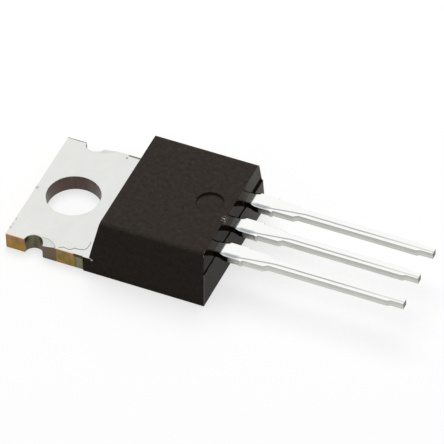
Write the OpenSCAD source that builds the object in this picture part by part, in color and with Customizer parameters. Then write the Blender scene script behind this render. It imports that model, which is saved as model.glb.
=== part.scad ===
// Three-lead power transistor in a flat-backed moulded package.
// The package lies on its metal back. The origin is on the axis of the
// mounting hole at the back face, +X runs along the leads, +Z is up.

/* [Heat sink] */
// Width of the tab across the mounting hole
tab_w = 10.14; // [9.9:0.02:10.2]
// Thickness of the tab
tab_t = 1.27; // [1.14:0.01:1.4]
// Distance from the hole's axis to the free end of the tab
tab_reach = 2.75; // [2.65:0.05:2.95]
// Diameter of the mounting hole
hole_d = 3.8; // [3.54:0.02:3.9]
// Radius of the half-round notch in each side of the tab
notch_r = 0.65; // [0.5:0.01:0.8]
// How far the notch sits towards the free end from the hole's axis
notch_shift = 0.68; // [0.5:0.01:0.8]
// Radius of the shallow coined hollow beside each notch
coin_r = 1.1; // [0.9:0.01:1.2]
// Depth that the coined hollow would reach at its centre, off the tab
coin_depth = 0.34; // [0.2:0.01:0.5]
// Width of the die pad inside the moulding, at its exposed underside
pad_w = 8; // [7.4:0.1:8.2]
// Length of the narrower neck where the tab goes into the moulding
pad_end_x = 10.7; // [10.2:0.05:11]

/* [Moulding] */
// Height of the moulding over the back face
body_h = 4.5; // [4.3:0.01:4.7]
// Height of the mould's parting line over the back face
parting_z = 2.8; // [2.7:0.01:2.9]
// Width of the moulding at the back face
body_w = 10.3; // [10.2:0.02:10.5]
// Draft of the lower half's long sides, in degrees
lower_draft = 4.6; // [1:0.1:5]
// Draft of the upper half's long sides, in degrees
upper_draft = 8; // [4:0.5:12]
// Radius along the top's two long edges
top_round = 0.35; // [0.1:0.05:0.5]
// Distance from the hole's axis to the moulding at the tab's top face
body_start_x = 3.46; // [3.3:0.01:3.7]
// Slope of the moulding's tab end from upright, in degrees
tab_end_draft = 13; // [8:0.5:16]
// Distance from the hole's axis to the moulding's lead end
body_end_x = 11.97; // [11.8:0.01:12.2]
// Draft of the lead end above the parting line, in degrees
lead_end_draft = 2.5; // [1:0.5:7]
// Step in from the lower to the upper half at the parting line
parting_step = 0.05; // [0:0.01:0.08]
// Diameter of the ejector-pin recess in the top
ejector_d = 1.96; // [1.6:0.02:2.2]
// Depth of the ejector-pin recess
ejector_depth = 0.2; // [0.1:0.01:0.25]
// Distance from the lead end back to the recess's centre
ejector_inset = 1.71; // [1.5:0.01:2]

/* [Leads] */
// Pitch of the leads
pitch = 2.54; // [2.54:0.01:2.54]
// Thickness of the leads
lead_t = 0.5; // [0.45:0.01:0.6]
// Length of the leads outside the moulding
lead_l = 13.55; // [13:0.05:14]
// Width of the leads where they leave the moulding
root_w = 1; // [0.9:0.01:1.1]
// Width of the shoulder up to the cut of the dam bar
dam_w = 1.35; // [1.2:0.01:1.4]
// Width of the shoulder past the cut of the dam bar
shoulder_w = 1.18; // [1.1:0.01:1.3]
// Width of the long tail
tail_w = 0.75; // [0.6:0.01:0.9]
// Width of the coined tip
tip_w = 0.5; // [0.4:0.01:0.6]
// Distance from the moulding to the cut of the dam bar
dam_reach = 1.9; // [1.7:0.01:2]
// Distance from the moulding to the end of the shoulder
shoulder_reach = 3.48; // [3:0.01:3.8]
// Length of the coined tip
tip_l = 1.15; // [0.8:0.05:1.4]

/* [Die and bond wires] */
// Length of the silicon die along the package
die_l = 3.8; // [3:0.1:4.2]
// Width of the silicon die
die_w = 3; // [2.4:0.1:3.4]
// Thickness of the silicon die
die_t = 0.25; // [0.15:0.01:0.3]
// Thickness of the solder under the die
solder_t = 0.06; // [0.03:0.01:0.1]
// Distance from the hole's axis to the die's centre
die_x = 7; // [6.6:0.1:7.3]
// Diameter of the two source bond wires
source_wire_d = 0.38; // [0.3:0.02:0.4]
// Diameter of the gate bond wire
gate_wire_d = 0.18; // [0.12:0.01:0.2]

/* [Hidden] */
$fn = 64;
eps = 0.01;

lead_z = parting_z;
lead_top = lead_z + lead_t;
lead_end_x = body_end_x + lead_l;
die_z = tab_t + solder_t;
die_top = die_z + die_t;
neck_x = body_start_x - 0.44;
pad_lip = 0.35;

// half widths and ends of the moulding at its levels
low_w = body_w / 2;
part_w = low_w - parting_z * tan(lower_draft);
part_w_up = part_w - parting_step;
top_w = part_w_up - (body_h - parting_z) * tan(upper_draft);
top_x0 = body_start_x + (body_h - tab_t) * tan(tab_end_draft);
end_up = body_end_x - parting_step;
top_x1 = end_up - (body_h - parting_z) * tan(lead_end_draft);

// Section across the moulding, with the drafts, parting step and round edges
module cross_section() {
    // centre of the arc that is tangent to the side and to the top
    arc_y = top_w - top_round * tan(45 - upper_draft / 2);
    arc_z = body_h - top_round;
    side = concat(
        [[low_w, 0], [part_w, parting_z], [part_w_up, parting_z]],
        [for (i = [0 : 6])
            let (t = upper_draft + i * (90 - upper_draft) / 6)
            [arc_y + top_round * cos(t), arc_z + top_round * sin(t)]]
    );
    polygon(concat(side, [for (i = [len(side) - 1 : -1 : 0]) [-side[i][0], side[i][1]]]));
}

// Section along the moulding, with the foot beside the heat sink at z = 0
module long_section() {
    polygon([
        [neck_x, 0], [body_end_x, 0], [body_end_x, parting_z], [end_up, parting_z],
        [top_x1, body_h], [top_x0, body_h], [body_start_x, tab_t],
        [neck_x + 0.12, tab_t]
    ]);
}

// Outline of one lead from inside the moulding to its tip, centred on y = 0
module lead_outline(x_in) {
    edge = [
        [x_in, root_w / 2],
        [body_end_x + 0.25, root_w / 2],
        [body_end_x + 0.7, dam_w / 2],
        [body_end_x + dam_reach - 0.12, dam_w / 2],
        [body_end_x + dam_reach - 0.1, dam_w / 2 + 0.04],
        [body_end_x + dam_reach + 0.1, dam_w / 2 + 0.04],
        [body_end_x + dam_reach + 0.12, shoulder_w / 2],
        [body_end_x + shoulder_reach, shoulder_w / 2 - 0.02],
        [body_end_x + shoulder_reach + 0.3, tail_w / 2],
        [lead_end_x - tip_l, tail_w / 2],
        [lead_end_x - tip_l + 0.25, tip_w / 2],
        [lead_end_x, tip_w / 2]
    ];
    far_side = [for (i = [len(edge) - 1 : -1 : 0]) edge[i]];
    polygon(concat([for (p = far_side) [p[0], p[1]]],
                   [for (p = edge) [p[0], -p[1]]]));
}

// Side lead with the wire post inside the moulding; side is -1 or 1
module post_lead(side) {
    post_x0 = 9.55;
    post_x1 = 10.95;
    translate([0, side * pitch, lead_z])
        difference() {
            linear_extrude(lead_t)
                union() {
                    lead_outline(post_x1 - eps);
                    translate([post_x0, side > 0 ? -1.25 : -0.95])
                        square([post_x1 - post_x0, 2.2]);
                }
            // lock hole that the moulding flows through
            translate([11.35, 0, -1])
                cylinder(h = lead_t + 2, d = 0.5);
        }
}

// Round wire looped upwards from point p to point q
module bond_wire(p, q, rise, d, bury = 0.08) {
    run = norm([q[0] - p[0], q[1] - p[1]]);
    chord = norm(q - p);
    r = (chord * chord / 4 + rise * rise) / (2 * rise);
    half = rise > r ? 180 - asin(chord / (2 * r)) : asin(chord / (2 * r));
    extra = bury / r * 180 / PI;
    translate(p)
        rotate([0, 0, atan2(q[1] - p[1], q[0] - p[0])])
            rotate([90, 0, 0])
                rotate([0, 0, atan2(q[2] - p[2], run)])
                    translate([chord / 2, rise - r, 0])
                        rotate([0, 0, 90 - half - extra])
                            rotate_extrude(angle = 2 * (half + extra))
                                translate([r, 0])
                                    circle(d = d);
}

// Tab, die pad and drain lead: one stamping of thick and thin copper
module heat_sink() color([0.86, 0.87, 0.85]) {
    difference() {
        union() {
            // tab
            translate([-tab_reach, -tab_w / 2, 0])
                cube([tab_reach + neck_x, tab_w, tab_t]);
            // die pad, exposed underneath, with a lip at its upper edge
            translate([0, -pad_w / 2, 0])
                cube([pad_end_x, pad_w, tab_t]);
            translate([0, -pad_w / 2 - pad_lip, tab_t / 2])
                cube([pad_end_x, pad_w + 2 * pad_lip, tab_t / 2]);
            // drain lead, cranked up from the pad
            translate([0, root_w / 2, 0])
                rotate([90, 0, 0])
                    linear_extrude(root_w)
                        polygon([
                            [9.9, tab_t - lead_t], [pad_end_x - 0.1, tab_t - lead_t],
                            [11.3, lead_z], [body_end_x, lead_z],
                            [body_end_x, lead_top], [11.02, lead_top],
                            [10.36, tab_t], [9.9, tab_t]
                        ]);
            translate([0, 0, lead_z])
                linear_extrude(lead_t)
                    lead_outline(body_end_x - 0.3);
        }
        // mounting hole
        translate([0, 0, -1])
            cylinder(h = tab_t + 2, d = hole_d);
        // side notches
        for (s = [-1, 1]) {
            translate([-notch_shift, s * tab_w / 2, -1])
                cylinder(h = tab_t + 2, r = notch_r);
            // coined hollow beside the notch, deepest at the tab's side
            translate([-0.05, s * (tab_w / 2 + 0.5), tab_t - coin_depth])
                cylinder(h = coin_depth, r1 = 0, r2 = coin_r);
        }
        // two shallow grooves across the pad that hold the moulding
        for (x = [4.35, 4.85])
            translate([x, -pad_w / 2 - 1, tab_t])
                rotate([0, 45, 0])
                    translate([-0.1, 0, -0.1])
                        cube([0.2, pad_w + 2, 0.2]);
    }
}

module gate_lead() color([0.84, 0.85, 0.83]) post_lead(-1);

module source_lead() color([0.84, 0.85, 0.83]) post_lead(1);

module die_solder() color([0.55, 0.56, 0.57])
    translate([die_x - die_l / 2 - 0.1, -die_w / 2 - 0.1, tab_t])
        cube([die_l + 0.2, die_w + 0.2, solder_t]);

module silicon_die() color([0.35, 0.36, 0.4])
    translate([die_x - die_l / 2, -die_w / 2, die_z])
        cube([die_l, die_w, die_t]);

// The two source wires are trimmed where they sink into the die and the post
module source_wire(y_die, y_post) {
    difference() {
        bond_wire([die_x + 0.5, y_die, die_top], [10.1, y_post, lead_top],
                  1.25, source_wire_d);
        translate([0, -5, die_z]) cube([die_x + die_l / 2, 10, die_t]);
        translate([9.5, 0, lead_z]) cube([1.5, 5, lead_t]);
    }
}

module source_wire_inner() color([0.8, 0.8, 0.82]) source_wire(0.35, 1.75);

module source_wire_outer() color([0.8, 0.8, 0.82]) source_wire(1.05, 2.75);

module gate_wire() color([0.8, 0.8, 0.82])
    difference() {
        bond_wire([die_x + 1.3, -1.05, die_top], [10.1, -2.3, lead_top],
                  1.1, gate_wire_d);
        translate([0, -5, die_z]) cube([die_x + die_l / 2, 10, die_t]);
        translate([9.5, -5, lead_z]) cube([1.5, 5, lead_t]);
    }

// Epoxy moulded round everything above, with a parting line at lead level
module epoxy_body() color([0.2, 0.19, 0.17])
    difference() {
        intersection() {
            rotate([90, 0, 90])
                linear_extrude(body_end_x + 1)
                    cross_section();
            translate([0, body_w / 2 + 1, 0])
                rotate([90, 0, 0])
                    linear_extrude(body_w + 2)
                        long_section();
        }
        translate([body_end_x - ejector_inset, 0, body_h - ejector_depth])
            cylinder(h = 1, d = ejector_d);
        heat_sink();
        gate_lead();
        source_lead();
        die_solder();
        silicon_die();
        source_wire_inner();
        source_wire_outer();
        gate_wire();
    }

heat_sink();
gate_lead();
source_lead();
silicon_die();
die_solder();
source_wire_inner();
source_wire_outer();
gate_wire();
epoxy_body();
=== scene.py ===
# Power transistor in a flat-backed moulded package, dressed over its CAD frame.
# +X runs along the leads, +Y towards the source lead and +Z up from the tab's back.
import bpy
import bmesh
from math import radians, sin, cos, atan2
from mathutils import Vector, Matrix


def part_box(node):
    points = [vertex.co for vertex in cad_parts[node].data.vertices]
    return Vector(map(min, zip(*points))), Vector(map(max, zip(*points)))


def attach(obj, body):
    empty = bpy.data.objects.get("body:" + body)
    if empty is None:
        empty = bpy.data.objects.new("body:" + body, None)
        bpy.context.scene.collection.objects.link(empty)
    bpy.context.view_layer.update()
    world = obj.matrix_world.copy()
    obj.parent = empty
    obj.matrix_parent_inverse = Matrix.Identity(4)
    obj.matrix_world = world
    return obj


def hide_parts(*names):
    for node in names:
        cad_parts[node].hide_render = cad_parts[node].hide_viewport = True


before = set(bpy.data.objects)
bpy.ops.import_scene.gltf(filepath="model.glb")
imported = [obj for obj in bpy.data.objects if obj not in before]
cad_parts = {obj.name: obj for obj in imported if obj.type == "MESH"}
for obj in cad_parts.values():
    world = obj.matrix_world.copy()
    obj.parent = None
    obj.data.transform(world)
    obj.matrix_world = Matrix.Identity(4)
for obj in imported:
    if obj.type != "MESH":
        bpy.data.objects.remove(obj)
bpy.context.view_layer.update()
mm = 0.001
scene = bpy.context.scene
scene.view_settings.view_transform = "Standard"


def linear(hexColour):
    parts = [int(hexColour[i:i + 2], 16) / 255 for i in (1, 3, 5)]
    return [p / 12.92 if p <= 0.04045 else ((p + 0.055) / 1.055) ** 2.4 for p in parts] + [1.0]


def addNode(tree, kind, inputs=None, **settings):
    node = tree.nodes.new(kind)
    for key, value in settings.items():
        setattr(node, key, value)
    for key, value in (inputs or {}).items():
        if isinstance(value, bpy.types.NodeSocket):
            tree.links.new(value, node.inputs[key])
        else:
            node.inputs[key].default_value = value
    return node


def newMaterial(name):
    material = bpy.data.materials.new(name)
    material.use_nodes = True
    tree = material.node_tree
    place = addNode(tree, "ShaderNodeTexCoord").outputs["Object"]
    return material, tree, tree.nodes["Principled BSDF"], place


def bandMask(tree, value, low, high, soft):
    # 1 between two limits in mm, fading over soft at each of them
    rise = addNode(tree, "ShaderNodeMapRange", {
        "Value": value, "From Min": (low - soft) * mm, "From Max": (low + soft) * mm},
        interpolation_type="SMOOTHSTEP")
    fall = addNode(tree, "ShaderNodeMapRange", {
        "Value": value, "From Min": (high - soft) * mm, "From Max": (high + soft) * mm,
        "To Min": 1.0, "To Max": 0.0}, interpolation_type="SMOOTHSTEP")
    return addNode(tree, "ShaderNodeMath", {
        0: rise.outputs["Result"], 1: fall.outputs["Result"]}, operation="MULTIPLY").outputs[0]


spotRim = (1.3, 0.7)           # times its radius, where a spot begins and where it is full


def spotMask(tree, place, spots):
    # 1 inside any of the spots, each given as x, y, z and radius in mm
    total = None
    for x, y, z, radius in spots:
        away = addNode(tree, "ShaderNodeVectorMath", {
            0: place, 1: (x * mm, y * mm, z * mm)}, operation="DISTANCE").outputs["Value"]
        near = addNode(tree, "ShaderNodeMapRange", {
            "Value": away, "From Min": radius * spotRim[0] * mm,
            "From Max": radius * spotRim[1] * mm}).outputs["Result"]
        total = near if total is None else addNode(
            tree, "ShaderNodeMath", {0: total, 1: near}, operation="MAXIMUM").outputs[0]
    return total


def wobbled(tree, place, sizeMm, amountMm):
    # the place pushed about by a noise, so that a border drawn with it is ragged
    noise = addNode(tree, "ShaderNodeTexNoise", {
        "Vector": place, "Scale": 1 / (sizeMm * mm), "Detail": 3.0})
    centred = addNode(tree, "ShaderNodeVectorMath", {
        0: noise.outputs["Color"], 1: (0.5, 0.5, 0.5)}, operation="SUBTRACT")
    return addNode(tree, "ShaderNodeVectorMath", {
        0: centred.outputs[0], 1: (amountMm * mm,) * 3, 2: place},
        operation="MULTIPLY_ADD").outputs[0]


meshing = {
    "joinMm": 0.0005,          # corners of CAD triangles closer than this are one
    "flatAngle": 0.3,          # degrees between triangles that become one face
    "sharpAngle": 30,          # edges that turn by more are rounded
    "roundSegments": 3,
    "sliverMm": 0.0004,        # nothing finer is left where roundings meet
    "narrowMm": 0.2,           # area over rim, below which a face is shaded smooth
    "blendAngle": 32,
}


def weldedCopy(nodeName):
    # the CAD mesh is loose triangles: joined, then flat areas become one face each
    bm = bmesh.new()
    bm.from_mesh(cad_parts[nodeName].data)
    bmesh.ops.remove_doubles(bm, verts=bm.verts, dist=meshing["joinMm"] * mm)
    bmesh.ops.dissolve_limit(
        bm, angle_limit=radians(meshing["flatAngle"]), verts=bm.verts, edges=bm.edges)
    return bm


def edgeAngle(edge):
    return edge.calc_face_angle(0)


def roundEdges(bm, keep, radiusMm):
    sharp = radians(meshing["sharpAngle"])
    picked = [e for e in bm.edges if edgeAngle(e) > sharp and keep(e)]
    made = bmesh.ops.bevel(
        bm, geom=picked, offset=radiusMm * mm, offset_type="OFFSET", affect="EDGES",
        segments=meshing["roundSegments"], profile=0.5, material=-1, clamp_overlap=True)
    return set(made["faces"])


def finishPiece(name, bm, materials, nodeName):
    bmesh.ops.remove_doubles(bm, verts=bm.verts, dist=meshing["sliverMm"] * mm)
    bmesh.ops.dissolve_degenerate(bm, edges=bm.edges, dist=meshing["sliverMm"] * mm)
    # wide flat faces stay flat, so that only the roundings and round walls are blended
    for face in bm.faces:
        face.smooth = face.calc_area() / face.calc_perimeter() < meshing["narrowMm"] * mm
    for edge in bm.edges:
        edge.smooth = edgeAngle(edge) < radians(meshing["blendAngle"])
    mesh = bpy.data.meshes.new(name)
    bm.to_mesh(mesh)
    bm.free()
    piece = bpy.data.objects.new(name, mesh)
    scene.collection.objects.link(piece)
    for material in materials:
        mesh.materials.append(material)
    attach(piece, "root")
    if nodeName:
        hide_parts(nodeName)
    print("made", name, len(mesh.polygons), "faces")


epoxyLook = {
    "colour": "#443e38",       # carbon black and silica in epoxy, slightly warm
    "patch": "#302b26",
    "speck": "#5a544d",
    "pit": "#1d1a18",
    "dust": "#8d8a82",
    "brokenEpoxyAndGlint": "#cfccc4",
    "specular": 0.03,          # the filler at the skin takes most of the gloss away
    "roughness": 0.45,
    "mottleMm": 0.32,          # clouds where the filler lies thicker or thinner
    "mottleSpan": (0.25, 0.75),        # the part of the noise over which it changes
    "speckMm": 0.2,            # the silica is finer, drawn as coarse as it can be seen
    "speckSpan": (0.68, 0.8),
    "speckStrength": 0.5,
    "grainMm": 0.09,           # the eroded cavity's texture
    "grainDepthMm": 0.003,
    # spots are x, y, z and radius in mm
    "pitsAt": [(7.83, -2.32, 4.5, 0.05), (7.94, -3.2, 4.5, 0.05), (9.45, -3.04, 4.5, 0.06)],
    "dustAt": [(5.74, -5.05, 2.96, 0.06), (7.51, -5.05, 3.0, 0.05), (8.49, -5.05, 3.05, 0.05)],
    # a chip whose pale colour is also a painted highlight
    "chipAndGlintAt": [(11.93, -1.08, 4.42, 0.3)],
    "crumbMm": 0.13,           # the size of the broken bits in the chip
    "crumbSpan": (0.5, 0.62),
}


def chipAndGlintMask(tree, place):
    # pale broken epoxy with a painted highlight as bright as a glint, in a small chip of the
    # top's edge over the middle lead
    crumb = addNode(tree, "ShaderNodeTexNoise", {
        "Vector": place, "Scale": 1 / (epoxyLook["crumbMm"] * mm), "Detail": 2.0})
    low, high = epoxyLook["crumbSpan"]
    brokenEpoxyAndGlint = addNode(tree, "ShaderNodeMapRange", {
        "Value": crumb.outputs["Fac"], "From Min": low, "From Max": high})
    return addNode(tree, "ShaderNodeMath", {
        0: spotMask(tree, place, epoxyLook["chipAndGlintAt"]), 1: brokenEpoxyAndGlint.outputs["Result"]},
        operation="MULTIPLY").outputs[0]


def mouldedEpoxy():
    # Filled epoxy moulding compound, transfer moulded in a spark-eroded cavity: a dull
    # warm black with a fine grain and a few pale grains of silica at the skin.
    material, tree, shader, place = newMaterial("mouldedEpoxy")
    mottle = addNode(tree, "ShaderNodeTexNoise", {
        "Vector": place, "Scale": 1 / (epoxyLook["mottleMm"] * mm), "Detail": 5.0,
        "Roughness": 0.65})
    low, high = epoxyLook["mottleSpan"]
    uneven = addNode(tree, "ShaderNodeMapRange", {
        "Value": mottle.outputs["Fac"], "From Min": low, "From Max": high})
    silica = addNode(tree, "ShaderNodeTexNoise", {
        "Vector": place, "Scale": 1 / (epoxyLook["speckMm"] * mm), "Detail": 1.0})
    low, high = epoxyLook["speckSpan"]
    rare = addNode(tree, "ShaderNodeMapRange", {
        "Value": silica.outputs["Fac"], "From Min": low, "From Max": high,
        "To Max": epoxyLook["speckStrength"]})
    pits = spotMask(tree, place, epoxyLook["pitsAt"])
    dust = spotMask(tree, place, epoxyLook["dustAt"])
    colour = linear(epoxyLook["colour"])
    for mask, tint in (
            (uneven.outputs["Result"], "patch"), (rare.outputs["Result"], "speck"),
            (pits, "pit"), (dust, "dust"), (chipAndGlintMask(tree, place), "brokenEpoxyAndGlint")):
        colour = addNode(tree, "ShaderNodeMix", {
            0: mask, 6: colour, 7: linear(epoxyLook[tint])}, data_type="RGBA").outputs[2]
    grain = addNode(tree, "ShaderNodeTexNoise", {
        "Vector": place, "Scale": 1 / (epoxyLook["grainMm"] * mm), "Detail": 2.0})
    bump = addNode(tree, "ShaderNodeBump", {
        "Height": grain.outputs["Fac"], "Distance": epoxyLook["grainDepthMm"] * mm})
    tree.links.new(colour, shader.inputs["Base Color"])
    tree.links.new(bump.outputs["Normal"], shader.inputs["Normal"])
    shader.inputs["Roughness"].default_value = epoxyLook["roughness"]
    shader.inputs["Specular IOR Level"].default_value = epoxyLook["specular"]
    return material


leadEndLook = {
    # painted shade: the lead end is darkest on the gate side
    "gateSidePaintedShade": "#241b10",
    "sourceSidePaintedLight": "#6b6156",   # painted light: paler towards the source lead
    "paintedLightSpanMm": (1.6, 3.8),
    "specular": 0.023,
    "roughness": 0.06,
    "scar": "#100e0c",
    "scarRoughness": 0.8,
    "stubMm": {"y": (3.2, 6.0), "z": (2.76, 3.2)},     # a dark bar along the parting at the far corner
    "flashMm": (2.7, 2.9),     # heights of the nibbled line of flash along the parting
    "nibbleMm": 0.45,
    "nibbleSpan": (0.42, 0.52),
}


def polishedEpoxy():
    # The same epoxy against the polished insert between the leads: smooth enough to
    # mirror the leads when it is seen along the surface.
    material, tree, shader, place = newMaterial("insertPolishedEpoxy")
    # painted shade on the gate side, grading into painted light towards the source lead
    sideways = addNode(tree, "ShaderNodeSeparateXYZ", {
        "Vector": wobbled(tree, place, sizeMm=0.5, amountMm=1.2)}).outputs["Y"]
    low, high = leadEndLook["paintedLightSpanMm"]
    paintedLightMask = addNode(tree, "ShaderNodeMapRange", {
        "Value": sideways, "From Min": low * mm, "From Max": high * mm}).outputs["Result"]
    split = addNode(tree, "ShaderNodeSeparateXYZ", {
        "Vector": wobbled(tree, place, sizeMm=0.5, amountMm=0.2)})
    stub = addNode(tree, "ShaderNodeMath", {
        0: bandMask(tree, split.outputs["Y"], *leadEndLook["stubMm"]["y"], soft=0.25),
        1: bandMask(tree, split.outputs["Z"], *leadEndLook["stubMm"]["z"], soft=0.05)},
        operation="MULTIPLY")
    nibble = addNode(tree, "ShaderNodeTexNoise", {
        "Vector": place, "Scale": 1 / (leadEndLook["nibbleMm"] * mm)})
    low, high = leadEndLook["nibbleSpan"]
    kept = addNode(tree, "ShaderNodeMapRange", {
        "Value": nibble.outputs["Fac"], "From Min": low, "From Max": high})
    flash = addNode(tree, "ShaderNodeMath", {
        0: kept.outputs["Result"],
        1: bandMask(tree, split.outputs["Z"], *leadEndLook["flashMm"], soft=0.04)},
        operation="MULTIPLY")
    scar = addNode(tree, "ShaderNodeMath", {
        0: stub.outputs[0], 1: flash.outputs[0]}, operation="MAXIMUM").outputs[0]
    colour = linear(leadEndLook["gateSidePaintedShade"])
    for mask, tint in (
            (paintedLightMask, leadEndLook["sourceSidePaintedLight"]), (chipAndGlintMask(tree, place), epoxyLook["brokenEpoxyAndGlint"]),
            (scar, leadEndLook["scar"])):
        colour = addNode(tree, "ShaderNodeMix", {
            0: mask, 6: colour, 7: linear(tint)}, data_type="RGBA").outputs[2]
    rough = addNode(tree, "ShaderNodeMapRange", {
        "Value": scar, "To Min": leadEndLook["roughness"],
        "To Max": leadEndLook["scarRoughness"]})
    tree.links.new(colour, shader.inputs["Base Color"])
    tree.links.new(rough.outputs["Result"], shader.inputs["Roughness"])
    shader.inputs["Specular IOR Level"].default_value = leadEndLook["specular"]
    return material


flashLook = {
    "atLeadEnd": "#151312",    # darkest on the lead end
    "leadEndMm": (11.88, 13),
    "nibbleMm": 0.3,
    "specular": 0.03,
    "roughness": 0.85,
}


def partingEdge():
    # The same epoxy on the mould's parting step, where trimmed flash left a matt line
    material, tree, shader, place = newMaterial("trimmedFlashEdge")
    nibble = addNode(tree, "ShaderNodeTexNoise", {
        "Vector": place, "Scale": 1 / (flashLook["nibbleMm"] * mm)})
    along = addNode(tree, "ShaderNodeSeparateXYZ", {"Vector": place}).outputs["X"]
    atEnd = bandMask(tree, along, *flashLook["leadEndMm"], soft=0.03)
    colour = linear(epoxyLook["colour"])
    for mask, tint in (
            (nibble.outputs["Fac"], epoxyLook["patch"]), (atEnd, flashLook["atLeadEnd"])):
        colour = addNode(tree, "ShaderNodeMix", {
            0: mask, 6: colour, 7: linear(tint)}, data_type="RGBA").outputs[2]
    tree.links.new(colour, shader.inputs["Base Color"])
    shader.inputs["Roughness"].default_value = flashLook["roughness"]
    shader.inputs["Specular IOR Level"].default_value = flashLook["specular"]
    return material


tabLook = {
    "colour": "#ebece9",
    "cloud": "#dfe0dc",
    "cloudMm": 1.2,
    "roughness": 0.28,
    "grainMm": 0.06,           # tin's grain is finer, drawn as coarse as it can be seen
    "grainDepthMm": 0.0012,
    "smudgeAndShade": "#b9bab7",
    # handling smudges, and painted shade along the tab's end edge
    "smudgesAndShadeAt": [(-2.66, -0.19, 1.27, 0.12), (-2.72, -4.35, 1.27, 0.1),
                  (-2.7, -4.0, 1.27, 0.07), (-2.7, -3.55, 1.27, 0.09),
                  (-2.6, 3.9, 1.27, 0.06)],
    "pit": "#7e7a74",
    "pitsAt": [(1.85, 4.7, 1.27, 0.07)],
    "coinRim": "#b3b4b3",      # the coined hollow beside the near notch has a sharp rim
    "coinAtMm": (-0.05, -5.57, 1.27),
    "coinRimMm": (1.07, 1.16),
    "farLip": "#7e7a74",       # the dark lip that the shear left on the far side
    "farLipsMm": [{"x": (-2.8, -1.34), "y": (4.98, 6)}, {"x": (1.85, 3.4), "y": (4.9, 6)}],
}


def platedTin():
    # Matt tin, electroplated after moulding: a bright, even, slightly clouded white
    # metal with small handling smudges and painted shade along the tab's end edge.
    material, tree, shader, place = newMaterial("mattPlatedTin")
    cloud = addNode(tree, "ShaderNodeTexNoise", {
        "Vector": place, "Scale": 1 / (tabLook["cloudMm"] * mm), "Detail": 4.0,
        "Roughness": 0.6})
    ragged = wobbled(tree, place, sizeMm=0.25, amountMm=0.5)
    shaky = wobbled(tree, place, sizeMm=0.5, amountMm=0.06)
    split = addNode(tree, "ShaderNodeSeparateXYZ", {"Vector": shaky})
    fromCoin = addNode(tree, "ShaderNodeVectorMath", {
        0: shaky, 1: [v * mm for v in tabLook["coinAtMm"]]}, operation="DISTANCE")
    layers = [
        (cloud.outputs["Fac"], "cloud"),
        (spotMask(tree, ragged, tabLook["smudgesAndShadeAt"]), "smudgeAndShade"),
        (spotMask(tree, place, tabLook["pitsAt"]), "pit"),
        (bandMask(tree, fromCoin.outputs["Value"], *tabLook["coinRimMm"], soft=0.02), "coinRim"),
    ]
    for lip in tabLook["farLipsMm"]:
        span = addNode(tree, "ShaderNodeMath", {
            0: bandMask(tree, split.outputs["Y"], *lip["y"], soft=0.02),
            1: bandMask(tree, split.outputs["X"], *lip["x"], soft=0.05)},
            operation="MULTIPLY")
        layers.append((span.outputs[0], "farLip"))
    colour = linear(tabLook["colour"])
    for mask, tint in layers:
        colour = addNode(tree, "ShaderNodeMix", {
            0: mask, 6: colour, 7: linear(tabLook[tint])}, data_type="RGBA").outputs[2]
    grain = addNode(tree, "ShaderNodeTexNoise", {
        "Vector": place, "Scale": 1 / (tabLook["grainMm"] * mm), "Detail": 2.0})
    bump = addNode(tree, "ShaderNodeBump", {
        "Height": grain.outputs["Fac"], "Distance": tabLook["grainDepthMm"] * mm})
    tree.links.new(colour, shader.inputs["Base Color"])
    tree.links.new(bump.outputs["Normal"], shader.inputs["Normal"])
    shader.inputs["Metallic"].default_value = 1.0
    shader.inputs["Roughness"].default_value = tabLook["roughness"]
    return material


leadLook = {
    "colour": "#f9faf8",
    "roughness": 0.1,
    "waveMm": 0.7,             # how far apart the solder froze in waves
    "waveDepthMm": 0.003,
    "pitchMm": 2.54,
    # a painted reflection: the dark line that a crowned lead would mirror
    "crownReflection": "#a9aaad",
    "crownWidthMm": 0.11,
    "crownRootMm": -0.48,      # from the middle of the wide root, towards the gate side
    "crownTailMm": -0.08,      # the same along the tail
    "crownShiftMm": (13.3, 16.2),      # where it moves from the one to the other
    "crownFade": 0.45,         # what is left of it at the tips
    "crownFadeMm": (20.5, 24),
    "stain": "#a5abae",
    "stainMm": (12.55, 13.6),
    "stainAcrossMm": (-0.14, 0.16),    # on both sides of the crown's line
    "flash": "#191614",        # along the edge on the source side
    "flashMm": (5, 12.62),     # from inside the moulding
    "flashAcrossMm": (-1, 0.1),        # from beyond the edge
    "flashSpecular": 0.03,
    "flashRoughness": 0.7,
    "rootMm": (12.22, 12.67),  # the root widens from the moulding to the shoulder
    "rootHalfMm": (0.5, 0.675),
}


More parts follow.
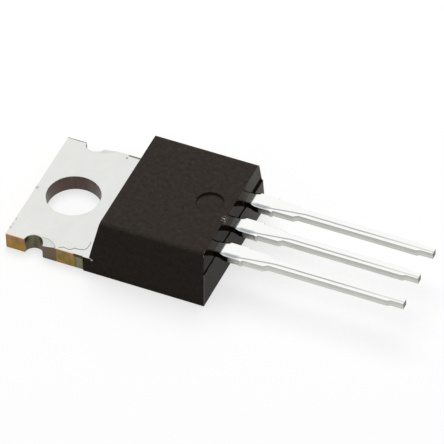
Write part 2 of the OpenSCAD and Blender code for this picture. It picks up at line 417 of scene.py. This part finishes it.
def dippedTin():
    # Solder-dipped tin on the leads' rolled faces: nearly a mirror, a little wavy, with
    # a thin grey painted reflection along the crown of the lead.
    material, tree, shader, place = newMaterial("dippedLeadTin")
    split = addNode(tree, "ShaderNodeSeparateXYZ", {
        "Vector": wobbled(tree, place, sizeMm=0.8, amountMm=0.05)})
    along = split.outputs["X"]
    # every lead has the same pattern, a pitch apart
    halfPitch = leadLook["pitchMm"] / 2 * mm
    fromMiddle = addNode(tree, "ShaderNodeMath", {
        0: split.outputs["Y"], 1: halfPitch, 2: -halfPitch}, operation="WRAP").outputs[0]
    low, high = leadLook["crownShiftMm"]
    shift = addNode(tree, "ShaderNodeMapRange", {
        "Value": along, "From Min": low * mm, "From Max": high * mm,
        "To Min": leadLook["crownRootMm"] * mm, "To Max": leadLook["crownTailMm"] * mm})
    fromCrown = addNode(tree, "ShaderNodeMath", {
        0: fromMiddle, 1: shift.outputs["Result"]}, operation="SUBTRACT").outputs[0]
    low, high = leadLook["crownFadeMm"]
    fade = addNode(tree, "ShaderNodeMapRange", {
        "Value": along, "From Min": low * mm, "From Max": high * mm,
        "To Min": 1.0, "To Max": leadLook["crownFade"]})
    half = leadLook["crownWidthMm"] / 2
    crownReflection = addNode(tree, "ShaderNodeMath", {
        0: bandMask(tree, fromCrown, -half, half, soft=0.05), 1: fade.outputs["Result"]},
        operation="MULTIPLY")
    stain = addNode(tree, "ShaderNodeMath", {
        0: bandMask(tree, along, *leadLook["stainMm"], soft=0.25),
        1: bandMask(tree, fromCrown, *leadLook["stainAcrossMm"], soft=0.08)},
        operation="MULTIPLY")
    (low, high), (narrow, wide) = leadLook["rootMm"], leadLook["rootHalfMm"]
    halfWidth = addNode(tree, "ShaderNodeMapRange", {
        "Value": along, "From Min": low * mm, "From Max": high * mm,
        "To Min": narrow * mm, "To Max": wide * mm})
    fromEdge = addNode(tree, "ShaderNodeMath", {
        0: halfWidth.outputs["Result"], 1: fromMiddle}, operation="SUBTRACT")
    flash = addNode(tree, "ShaderNodeMath", {
        0: bandMask(tree, fromEdge.outputs[0], *leadLook["flashAcrossMm"], soft=0.02),
        1: bandMask(tree, along, *leadLook["flashMm"], soft=0.08)},
        operation="MULTIPLY").outputs[0]
    colour = linear(leadLook["colour"])
    for mask, tint in (
            (crownReflection.outputs[0], "crownReflection"), (stain.outputs[0], "stain"), (flash, "flash")):
        colour = addNode(tree, "ShaderNodeMix", {
            0: mask, 6: colour, 7: linear(leadLook[tint])}, data_type="RGBA").outputs[2]
    metal = addNode(tree, "ShaderNodeMath", {0: 1.0, 1: flash}, operation="SUBTRACT")
    rough = addNode(tree, "ShaderNodeMapRange", {
        "Value": flash, "To Min": leadLook["roughness"], "To Max": leadLook["flashRoughness"]})
    wave = addNode(tree, "ShaderNodeTexNoise", {
        "Vector": place, "Scale": 1 / (leadLook["waveMm"] * mm), "Detail": 1.0})
    bump = addNode(tree, "ShaderNodeBump", {
        "Height": wave.outputs["Fac"], "Distance": leadLook["waveDepthMm"] * mm})
    tree.links.new(colour, shader.inputs["Base Color"])
    tree.links.new(bump.outputs["Normal"], shader.inputs["Normal"])
    tree.links.new(metal.outputs[0], shader.inputs["Metallic"])
    tree.links.new(rough.outputs["Result"], shader.inputs["Roughness"])
    shader.inputs["Specular IOR Level"].default_value = leadLook["flashSpecular"]
    return material


leadSideLook = {
    "colour": "#e0e1dc",
    "streak": "#b8b9b2",
    "streakMm": (1.6, 0.12, 0.12),     # drawn out along the lead
    "roughness": 0.42,
    "upper": "#b6b7b1",        # the shear's burnished half is next to the rolled face
    "upperMm": (2.95, 3.3),
    # black resin flash, dark also as a painted reflection of the moulding's end near the root
    "resinAndReflection": "#191614",
    "resinMm": (5, 12.98),     # the moulding's flash stops short of the dam bar's cut
    "resinSpecular": 0.03,
    "resinRoughness": 0.75,
}


def shearedLeadSide():
    # Sheared sides, tinned thinly over the tool marks: grey and streaked along the lead,
    # with a skin of black resin flash from the moulding to the dam bar, dark also as a
    # painted reflection of the moulding's end.
    material, tree, shader, place = newMaterial("shearedTinnedSide")
    drawnOut = addNode(tree, "ShaderNodeMapping", {
        "Vector": place, "Scale": [1 / (v * mm) for v in leadSideLook["streakMm"]]})
    streaks = addNode(tree, "ShaderNodeTexNoise", {
        "Vector": drawnOut.outputs["Vector"], "Scale": 1.0, "Detail": 3.0})
    split = addNode(tree, "ShaderNodeSeparateXYZ", {
        "Vector": wobbled(tree, place, sizeMm=0.5, amountMm=0.2)})
    low, high = leadSideLook["upperMm"]
    upper = addNode(tree, "ShaderNodeMapRange", {
        "Value": split.outputs["Z"], "From Min": low * mm, "From Max": high * mm})
    resinAndReflection = bandMask(tree, split.outputs["X"], *leadSideLook["resinMm"], soft=0.12)
    colour = linear(leadSideLook["colour"])
    for mask, tint in (
            (streaks.outputs["Fac"], "streak"), (upper.outputs["Result"], "upper"),
            (resinAndReflection, "resinAndReflection")):
        colour = addNode(tree, "ShaderNodeMix", {
            0: mask, 6: colour, 7: linear(leadSideLook[tint])}, data_type="RGBA").outputs[2]
    metal = addNode(tree, "ShaderNodeMath", {0: 1.0, 1: resinAndReflection}, operation="SUBTRACT")
    rough = addNode(tree, "ShaderNodeMapRange", {
        "Value": resinAndReflection, "To Min": leadSideLook["roughness"],
        "To Max": leadSideLook["resinRoughness"]})
    tree.links.new(colour, shader.inputs["Base Color"])
    tree.links.new(metal.outputs[0], shader.inputs["Metallic"])
    tree.links.new(rough.outputs["Result"], shader.inputs["Roughness"])
    shader.inputs["Specular IOR Level"].default_value = leadSideLook["resinSpecular"]
    return material


copperLook = {
    "rose": "#a1765c",
    "roughness": 0.36,
    "gold": "#a57e39",
    "goldSpanMm": (1.0, 0.5),  # height at which it begins, and where it is full
    "olive": "#6c6a38",
    "oliveMm": 0.9,
    "oliveSpan": (0.48, 0.68),
    "oliveStrength": 0.75,
    "wipedTin": "#645a4c",
    "cornerTin": "#787c70",
    # where along the sheared side tin was wiped over it, or it was tinned again
    "bandsMm": [(-0.12, 1.02, "wipedTin"), (2.36, 2.55, "olive"), (2.55, 2.9, "cornerTin"),
                (2.9, 3.2, "olive")],
    "dusky": "#33331f",
    "duskyMm": {"x": (2.36, 4), "z": (1.05, 1.5)},
    "scratch": "#6a4f38",
    "scratchMm": (0.08, 0.08, 0.8),    # the punch went upright
    "scratchSpan": (0.35, 0.75),
    "scratchStrength": 0.35,
}


def shearedCopper():
    # Copper sheared by the trim tool: bare metal tarnished from rose to gold and olive,
    # scratched by the punch, with tin wiped across it in places.
    material, tree, shader, place = newMaterial("shearedCopper")
    drawnOut = addNode(tree, "ShaderNodeMapping", {
        "Vector": place, "Scale": [1 / (v * mm) for v in copperLook["scratchMm"]]})
    scratches = addNode(tree, "ShaderNodeTexNoise", {
        "Vector": drawnOut.outputs["Vector"], "Scale": 1.0, "Detail": 3.0})
    low, high = copperLook["scratchSpan"]
    scratched = addNode(tree, "ShaderNodeMapRange", {
        "Value": scratches.outputs["Fac"], "From Min": low, "From Max": high,
        "To Max": copperLook["scratchStrength"]})
    height = addNode(tree, "ShaderNodeSeparateXYZ", {
        "Vector": wobbled(tree, place, sizeMm=0.5, amountMm=0.5)}).outputs["Z"]
    begins, full = copperLook["goldSpanMm"]
    golden = addNode(tree, "ShaderNodeMapRange", {
        "Value": height, "From Min": begins * mm, "From Max": full * mm})
    tarnish = addNode(tree, "ShaderNodeTexNoise", {
        "Vector": place, "Scale": 1 / (copperLook["oliveMm"] * mm), "Detail": 3.0})
    low, high = copperLook["oliveSpan"]
    tarnished = addNode(tree, "ShaderNodeMapRange", {
        "Value": tarnish.outputs["Fac"], "From Min": low, "From Max": high,
        "To Max": copperLook["oliveStrength"]})
    layers = [(golden.outputs["Result"], "gold"), (tarnished.outputs["Result"], "olive")]
    alongSide = addNode(tree, "ShaderNodeSeparateXYZ", {
        "Vector": wobbled(tree, place, sizeMm=0.4, amountMm=0.12)}).outputs["X"]
    for low, high, tint in copperLook["bandsMm"]:
        layers.append((bandMask(tree, alongSide, low, high, soft=0.04), tint))
    ragged = addNode(tree, "ShaderNodeSeparateXYZ", {
        "Vector": wobbled(tree, place, sizeMm=0.4, amountMm=0.2)})
    corner = addNode(tree, "ShaderNodeMath", {
        0: bandMask(tree, ragged.outputs["X"], *copperLook["duskyMm"]["x"], soft=0.05),
        1: bandMask(tree, ragged.outputs["Z"], *copperLook["duskyMm"]["z"], soft=0.04)},
        operation="MULTIPLY")
    layers += [(corner.outputs[0], "dusky"), (scratched.outputs["Result"], "scratch")]
    colour = linear(copperLook["rose"])
    for mask, tint in layers:
        colour = addNode(tree, "ShaderNodeMix", {
            0: mask, 6: colour, 7: linear(copperLook[tint])}, data_type="RGBA").outputs[2]
    tree.links.new(colour, shader.inputs["Base Color"])
    shader.inputs["Metallic"].default_value = 1.0
    shader.inputs["Roughness"].default_value = copperLook["roughness"]
    return material


streakStretch = 8              # a streak's length over its width
streakedLooks = {
    # colour, streak, roughness, width of a streak in mm, and metallic.
    # Punched copper left to tarnish: brown in the hole, greener in the notches
    "punchedHoleWall": ("#6f5d57", "#372f2a", 0.35, 0.3, 1.0),
    "punchedNotchWall": ("#746f59", "#443f2f", 0.35, 0.3, 1.0),
    # copper cropped after the dip, with tin dragged over it: a dull brownish grey
    "croppedLeadEnd": ("#7d776c", "#5d584f", 0.4, 0.08, 1.0),
    # tin smeared by the shear: greyer than the plating beside it
    "burnishedBurr": ("#a9abab", "#8b8c8b", 0.3, 0.3, 1.0),
    # copper turned up by the shear, with no tin on it: a pale pink line
    "bareCopperBurr": ("#e6c3a6", "#d8ab86", 0.3, 0.3, 1.0),
    # tin pressed flat by the coining punch: a shade greyer than the rest of the tab
    "coinedTin": ("#dfe0dd", "#d3d5d2", 0.3, 0.3, 1.0),
    # epoxy resin without its filler, spread thin over the tin: a grey line
    "thinResinFilm": ("#a3a4a3", "#8d8e8d", 0.4, 0.2, 0.0),
    # painted highlight on the lead end's upright corner on the gate side, pale as if it caught
    # the light
    "paintedHighlightCorner": ("#d8d3ca", "#8d887f", 0.5, 0.3, 0.0),
    # sealed in the moulding: polished silicon, solder that flowed, and drawn wire
    "polishedSilicon": ("#5a5d66", "#555862", 0.15, 0.5, 1.0),
    "reflowedSolder": ("#9a9c9e", "#8d8f91", 0.35, 0.5, 1.0),
    "drawnAluminium": ("#d6d7d9", "#cacbcd", 0.3, 0.1, 1.0),
}


def streakedFinish(name):
    # upright streaks from the tool that cut, drew or rubbed it
    colour, streak, roughness, widthMm, metallic = streakedLooks[name]
    material, tree, shader, place = newMaterial(name)
    drawnOut = addNode(tree, "ShaderNodeMapping", {
        "Vector": place, "Scale": [1 / (widthMm * v * mm) for v in (1, 1, streakStretch)]})
    streaks = addNode(tree, "ShaderNodeTexNoise", {
        "Vector": drawnOut.outputs["Vector"], "Scale": 1.0, "Detail": 3.0})
    tint = addNode(tree, "ShaderNodeMix", {
        0: streaks.outputs["Fac"], 6: linear(colour), 7: linear(streak)}, data_type="RGBA")
    tree.links.new(tint.outputs[2], shader.inputs["Base Color"])
    shader.inputs["Metallic"].default_value = metallic
    shader.inputs["Roughness"].default_value = roughness
    return material


epoxy = mouldedEpoxy()
leadEndEpoxy = polishedEpoxy()
flashEdge = partingEdge()
tabTin = platedTin()
leadTin = dippedTin()
leadSide = shearedLeadSide()
copperSide = shearedCopper()
holeWall = streakedFinish("punchedHoleWall")
notchWall = streakedFinish("punchedNotchWall")
cutEnd = streakedFinish("croppedLeadEnd")
burrTin = streakedFinish("burnishedBurr")
roseBurr = streakedFinish("bareCopperBurr")
coinTin = streakedFinish("coinedTin")
bleedFilm = streakedFinish("thinResinFilm")
highlightedCornerEpoxy = streakedFinish("paintedHighlightCorner")
print("materials ready")


# how much of a face's normal is along an axis, from leaning a little to square on
facing = {"leans": 0.3, "slopes": 0.4, "mostly": 0.6, "nearly": 0.7, "square": 0.9, "flat": 0.99}

bodyShape = {
    "edgeMm": 0.05,
    "topMm": 0.01,             # within this of the top, an edge is on it
    "sideMm": 0.3,             # and within this of a long side's foot, on that side
    "draft": 0.12,             # which leans in by no more than this as it rises
    "leadEndMm": 0.2,
    "partingMm": 2.8,
    "partingBandMm": 0.03,
}


def makeBody():
    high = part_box("epoxy_body")[1]
    bm = weldedCopy("epoxy_body")

    def outside(edge):
        # on the top or the long sides, not an edge of a cavity
        for v in edge.verts:
            onTop = v.co.z > high.z - bodyShape["topMm"] * mm
            sideY = high.y - bodyShape["sideMm"] * mm - v.co.z * bodyShape["draft"]
            if not (onTop or abs(v.co.y) > sideY):
                return False
        return True

    strips = roundEdges(bm, outside, bodyShape["edgeMm"])

    def finishOf(face):
        middle, normal = face.calc_center_median(), face.normal
        takesPaintedHighlight = normal.x > facing["leans"] and middle.y < 0 and abs(normal.z) < facing["slopes"]
        if face in strips and takesPaintedHighlight:
            return highlightedCornerEpoxy           # painted highlight on the upright corner of the lead end
        if normal.x > facing["square"] and middle.x > high.x - bodyShape["leadEndMm"] * mm:
            return leadEndEpoxy
        fromParting = abs(middle.z - bodyShape["partingMm"] * mm)
        if abs(normal.z) > facing["mostly"] and fromParting < bodyShape["partingBandMm"] * mm:
            return flashEdge
        return epoxy

    finishes = [epoxy, leadEndEpoxy, flashEdge, highlightedCornerEpoxy]
    for face in bm.faces:
        face.material_index = finishes.index(finishOf(face))
    finishPiece("mouldedBody", bm, finishes, "epoxy_body")


makeBody()


metalShape = {
    "tabEdgeMm": 0.06,
    "leadEdgeMm": 0.04,
    "tabUnderMm": 0.3,         # edges are rounded to this far inside the moulding's foot
    "leadFromMm": 11.5,        # and those of the leads from here, just inside its end
    "leadPartMm": 11,          # what lies beyond is the middle lead, not the tab
    "cutEndMm": 25.4,
    "burrAboveMm": 1.1,        # burrs and bright tin are on the upper edges only
    "farBurrs": {"beyond": 4.3, "x": [(-2.8, -1.35), (1.9, 3.4)]},
    "nearBurrs": {"beyond": 5, "x": [(-2.8, -1.35), (1.02, 2.3)]},     # bare copper
    "notchRims": {"within": 5, "x": 1.3, "fromHole": 2.2},
    "holeMm": 2.1,             # walls nearer to the axis than this are the hole's
    "notchWalls": {"within": 4.98, "x": (-2.6, 0.3)},
    "coin": {"above": 0.5, "x": 2},    # its floor slopes, unlike the rest of the tab
    # two plates and a crumb that the shear left, as limits, or as a place and half sizes
    "shoulder": {"x": (3.0, 3.6), "y": (4.25, 5.055), "z": (1.235, 1.2725)},
    "crumb": {"at": (3.68, -5.06, 1.17), "size": (0.1, 0.05, 0.08)},
}


def sideFace(face):
    return abs(face.normal.z) < facing["mostly"]


def isCutEnd(face):
    atTip = face.calc_center_median().x > metalShape["cutEndMm"] * mm
    return atTip and abs(face.normal.x) > facing["nearly"]


def onLead(edge):
    return all(v.co.x > metalShape["leadFromMm"] * mm for v in edge.verts)


def inRanges(value, ranges):
    return any(low < value < high for low, high in ranges)


def stripFinish(middle):
    # the rounded edges of the tab: burrs from the shear, bright tin above and copper below
    if middle.z <= metalShape["burrAboveMm"]:
        return copperSide
    far, near, rims = (metalShape[k] for k in ("farBurrs", "nearBurrs", "notchRims"))
    if middle.y > far["beyond"] and inRanges(middle.x, far["x"]):
        return burrTin
    if middle.y < -near["beyond"] and inRanges(middle.x, near["x"]):
        return roseBurr
    onRim = abs(middle.y) < rims["within"] and abs(middle.x) < rims["x"]
    if onRim and middle.xy.length > rims["fromHole"]:
        return burrTin
    return tabTin if middle.y > -near["beyond"] else copperSide


def tabFinish(face, middle):
    # a face of the tab that isn't one of its rounded edges
    coin, notch = metalShape["coin"], metalShape["notchWalls"]
    if not sideFace(face):
        sloping = abs(face.normal.z) < facing["flat"]
        if sloping and middle.x < coin["x"] and middle.z > coin["above"]:
            return coinTin
        return tabTin
    if middle.xy.length < metalShape["holeMm"]:
        return holeWall
    if abs(middle.y) < notch["within"] and inRanges(middle.x, [notch["x"]]):
        return notchWall
    return copperSide


def makeHeatSink():
    bm = weldedCopy("heat_sink")
    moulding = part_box("epoxy_body")[0].x

    def onTab(edge):
        return all(v.co.x < moulding + metalShape["tabUnderMm"] * mm for v in edge.verts)

    # so that the near side's burr can end where the wiped tin begins again
    burrEnd = metalShape["nearBurrs"]["x"][-1][1]
    bmesh.ops.bisect_plane(bm, geom=bm.verts[:] + bm.edges[:] + bm.faces[:],
                           plane_co=(burrEnd * mm, 0, 0), plane_no=(1, 0, 0))
    tabStrips = roundEdges(bm, onTab, metalShape["tabEdgeMm"])
    leadStrips = roundEdges(bm, onLead, metalShape["leadEdgeMm"])
    finishes = [tabTin, copperSide, leadTin, leadSide, holeWall, notchWall, burrTin, roseBurr,
                cutEnd, coinTin]
    for face in bm.faces:
        middle = face.calc_center_median() / mm
        if face in leadStrips:
            finish = leadSide
        elif face in tabStrips:
            finish = stripFinish(middle)
        elif isCutEnd(face):
            finish = cutEnd
        elif middle.x > metalShape["leadPartMm"]:
            finish = leadSide if sideFace(face) else leadTin
        else:
            finish = tabFinish(face, middle)
        face.material_index = finishes.index(finish)
    # the tab's top runs on over the foot of the moulding at its two corners
    shoulder, crumb = metalShape["shoulder"], metalShape["crumb"]
    for side in (-1, 1):
        span = [shoulder["x"], [side * v for v in shoulder["y"]], shoulder["z"]]
        block = bmesh.ops.create_cube(bm, size=1)["verts"]
        bmesh.ops.scale(bm, verts=block, vec=[abs(b - a) * mm for a, b in span])
        bmesh.ops.translate(bm, verts=block, vec=[(a + b) / 2 * mm for a, b in span])
    # a crumb of tin left by the shear beside the near one of these
    ball = bmesh.ops.create_icosphere(bm, subdivisions=2, radius=1)["verts"]
    for face in {face for v in ball for face in v.link_faces}:
        face.material_index = finishes.index(burrTin)
    bmesh.ops.scale(bm, verts=ball, vec=[v * mm for v in crumb["size"]])
    bmesh.ops.translate(bm, verts=ball, vec=[v * mm for v in crumb["at"]])
    finishPiece("tabAndDrainLead", bm, finishes, "heat_sink")


def makeSideLead(nodeName, pieceName):
    bm = weldedCopy(nodeName)
    strips = roundEdges(bm, onLead, metalShape["leadEdgeMm"])
    finishes = [leadTin, leadSide, cutEnd]
    for face in bm.faces:
        if face in strips:
            finish = leadSide
        elif isCutEnd(face):
            finish = cutEnd
        else:
            finish = leadSide if sideFace(face) else leadTin
        face.material_index = finishes.index(finish)
    finishPiece(pieceName, bm, finishes, nodeName)


bleedLine = {
    "radiusMm": 0.022,
    "sides": 6,
    "zMm": 1.272,
    "pathMm": [(1.15, -4.92), (1.44, -4.75), (1.84, -4.81), (2.03, -4.74), (2.16, -4.56),
               (2.52, -4.53), (2.84, -4.46), (2.97, -4.24), (3.0, -3.93), (2.95, -3.61)],
}


def makeResinBleed():
    # the thin edge of the resin that crept out on the tab beside the moulding's corner
    points = [Vector((x * mm, y * mm, bleedLine["zMm"] * mm)) for x, y in bleedLine["pathMm"]]
    headings = [atan2(b.y - a.y, b.x - a.x) for a, b in zip(points, points[1:])]
    bm = bmesh.new()
    facingAhead = Matrix.Rotation(headings[0], 4, "Z") @ Matrix.Rotation(radians(90), 4, "Y")
    bmesh.ops.create_circle(
        bm, segments=bleedLine["sides"], radius=bleedLine["radiusMm"] * mm, cap_ends=True,
        matrix=Matrix.Translation(points[0]) @ facingAhead)
    tip = next(iter(bm.faces))
    for i, stop in enumerate(points[1:]):
        made = bmesh.ops.extrude_face_region(bm, geom=[tip])["geom"]
        if i:
            bmesh.ops.delete(bm, geom=[tip], context="FACES_ONLY")    # it would stay inside
        verts = [item for item in made if isinstance(item, bmesh.types.BMVert)]
        tip = next(item for item in made if isinstance(item, bmesh.types.BMFace))
        bmesh.ops.translate(bm, verts=verts, vec=stop - points[i])
        following = headings[min(i + 1, len(headings) - 1)]
        turn = (following - headings[i]) / 2 + (headings[i] - headings[max(i - 1, 0)]) / 2
        bmesh.ops.rotate(bm, cent=stop, matrix=Matrix.Rotation(turn, 3, "Z"), verts=verts)
    bmesh.ops.recalc_face_normals(bm, faces=bm.faces)
    finishPiece("resinBleed", bm, [bleedFilm], None)


makeHeatSink()
makeResinBleed()
makeSideLead("gate_lead", "gateLead")
makeSideLead("source_lead", "sourceLead")


wireMetal = streakedFinish("drawnAluminium")
sealed = {
    "silicon_die": streakedFinish("polishedSilicon"),
    "die_solder": streakedFinish("reflowedSolder"),
    "source_wire_inner": wireMetal,
    "source_wire_outer": wireMetal,
    "gate_wire": wireMetal,
}
for nodeName, material in sealed.items():
    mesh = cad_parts[nodeName].data
    mesh.materials.clear()
    mesh.materials.append(material)
print("sealed pieces keep their CAD mesh")


studio = {
    "floorSide": 1.2,
    "floorDropMm": 0.02,
    "floorGrey": 0.3,          # what the light on the object bounces from
    "floorSeenGrey": 0.45,     # what is seen takes the shadow, under a glow up to white
    "floorGlow": 0.67,
    "worldPlain": 0.3,
    "keyWatts": 0.26,
    "keySide": 0.16,
    "keyDistance": 0.22,
    "keyFrom": (-0.2, 0.35, 1),        # the way from the part to the lamp
    "keyOver": (0.01, 0, 0),
}


def whiteForViewers(tree):
    # 1 for rays from the camera, reflections and glass, 0 for the light on the object
    path = addNode(tree, "ShaderNodeLightPath")
    seen = addNode(tree, "ShaderNodeMath", {
        0: path.outputs["Is Camera Ray"], 1: path.outputs["Is Glossy Ray"]},
        operation="MAXIMUM")
    return addNode(tree, "ShaderNodeMath", {
        0: seen.outputs[0], 1: path.outputs["Is Transmission Ray"]},
        operation="MAXIMUM").outputs[0]


def makeFloor():
    bm = bmesh.new()
    bmesh.ops.create_grid(bm, x_segments=1, y_segments=1, size=studio["floorSide"] / 2)
    bmesh.ops.translate(bm, verts=bm.verts, vec=(0, 0, -studio["floorDropMm"] * mm))
    mesh = bpy.data.meshes.new("floor")
    bm.to_mesh(mesh)
    bm.free()
    floor = bpy.data.objects.new("floor", mesh)
    scene.collection.objects.link(floor)
    material, tree, shader = newMaterial("paleFloor")[:3]
    tree.nodes.remove(shader)
    plain, seen = (
        addNode(tree, "ShaderNodeBsdfDiffuse", {"Color": (studio[k],) * 3 + (1,)}).outputs[0]
        for k in ("floorGrey", "floorSeenGrey"))
    glow = addNode(tree, "ShaderNodeEmission", {
        "Color": (1, 1, 1, 1), "Strength": studio["floorGlow"]})
    glowing = addNode(tree, "ShaderNodeAddShader", {0: seen, 1: glow.outputs[0]})
    either = addNode(tree, "ShaderNodeMixShader", {
        0: whiteForViewers(tree), 1: plain, 2: glowing.outputs[0]})
    # open from below, so that the underside can be looked at
    fromAbove = addNode(tree, "ShaderNodeMixShader", {
        0: addNode(tree, "ShaderNodeNewGeometry").outputs["Backfacing"],
        1: either.outputs[0], 2: addNode(tree, "ShaderNodeBsdfTransparent").outputs[0]})
    tree.links.new(fromAbove.outputs[0], tree.nodes["Material Output"].inputs["Surface"])
    mesh.materials.append(material)


def makeWorld():
    world = bpy.data.worlds.new("studio")
    scene.world = world
    world.use_nodes = True
    tree = world.node_tree
    background = tree.nodes["Background"]
    background.inputs["Color"].default_value = (1, 1, 1, 1)
    strength = addNode(tree, "ShaderNodeMapRange", {
        "Value": whiteForViewers(tree), "To Min": studio["worldPlain"], "To Max": 1.0})
    tree.links.new(strength.outputs["Result"], background.inputs["Strength"])


def makeOverheadBox():
    light = bpy.data.lights.new("overheadBox", "AREA")
    light.energy = studio["keyWatts"]
    light.size = studio["keySide"]
    lamp = bpy.data.objects.new("overheadBox", light)
    scene.collection.objects.link(lamp)
    away = Vector(studio["keyFrom"]).normalized()
    spot = Matrix.Translation(away * studio["keyDistance"] + Vector(studio["keyOver"]))
    lamp.matrix_world = spot @ away.to_track_quat("Z", "Y").to_matrix().to_4x4()
    lamp.visible_glossy = False


cameraView = {
    "azimuth": 25.51,
    "elevation": 44.93,
    "roll": -2.23,
    "distanceMm": 431.4,
    "aimMm": (10.89, 0.45, 2.45),
    "lensMm": 518.5,
    "sensorMm": 36,
    "clipEnd": 20,             # metres
}


def makeCamera():
    turn, lift, roll = (radians(cameraView[k]) for k in ("azimuth", "elevation", "roll"))
    ahead = Vector((-sin(turn) * cos(lift), cos(turn) * cos(lift), -sin(lift)))
    level = Vector((cos(turn), sin(turn), 0))
    upright = level.cross(ahead)
    right = level * cos(roll) + upright * sin(roll)
    up = upright * cos(roll) - level * sin(roll)
    data = bpy.data.cameras.new("camera")
    data.lens = cameraView["lensMm"]
    data.sensor_width = cameraView["sensorMm"]
    data.clip_end = cameraView["clipEnd"]
    camera = bpy.data.objects.new("camera", data)
    scene.collection.objects.link(camera)
    camera.matrix_world = Matrix((right, up, -ahead)).transposed().to_4x4()
    camera.location = Vector(cameraView["aimMm"]) * mm - ahead * cameraView["distanceMm"] * mm
    scene.camera = camera


makeFloor()
makeWorld()
makeOverheadBox()
makeCamera()
print("stage ready")
